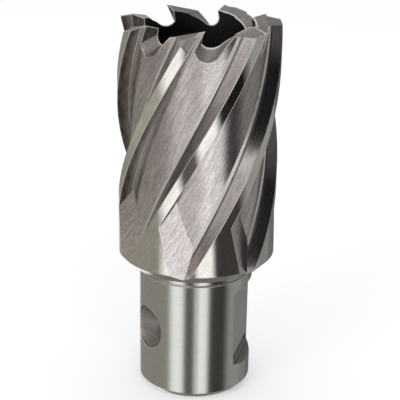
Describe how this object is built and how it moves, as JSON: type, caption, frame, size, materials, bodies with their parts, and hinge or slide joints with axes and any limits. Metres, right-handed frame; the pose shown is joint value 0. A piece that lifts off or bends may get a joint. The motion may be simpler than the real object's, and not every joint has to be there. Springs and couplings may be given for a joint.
{
  "type": "annular cutter",
  "caption": "Annular cutter with a stepped shank, helical lands round a hollow core, stepped teeth and a hole for a pilot pin.",
  "frame": {"origin": "centre of the shank's end face, which the cutter stands on", "axes": "+Z along the cutter's axis from the shank end to the teeth; the locating dimple is 57.5 degrees from -Y towards -X and the drive flat 75 degrees from -Y towards +X"},
  "size_m": [0.026, 0.026, 0.063],
  "materials": {
    "ground_steel": "ground high-speed steel with bright lands and dull flutes"
  },
  "bodies": {
    "root": {"cutter_body": "ground_steel"}
  },
  "joints": []
}
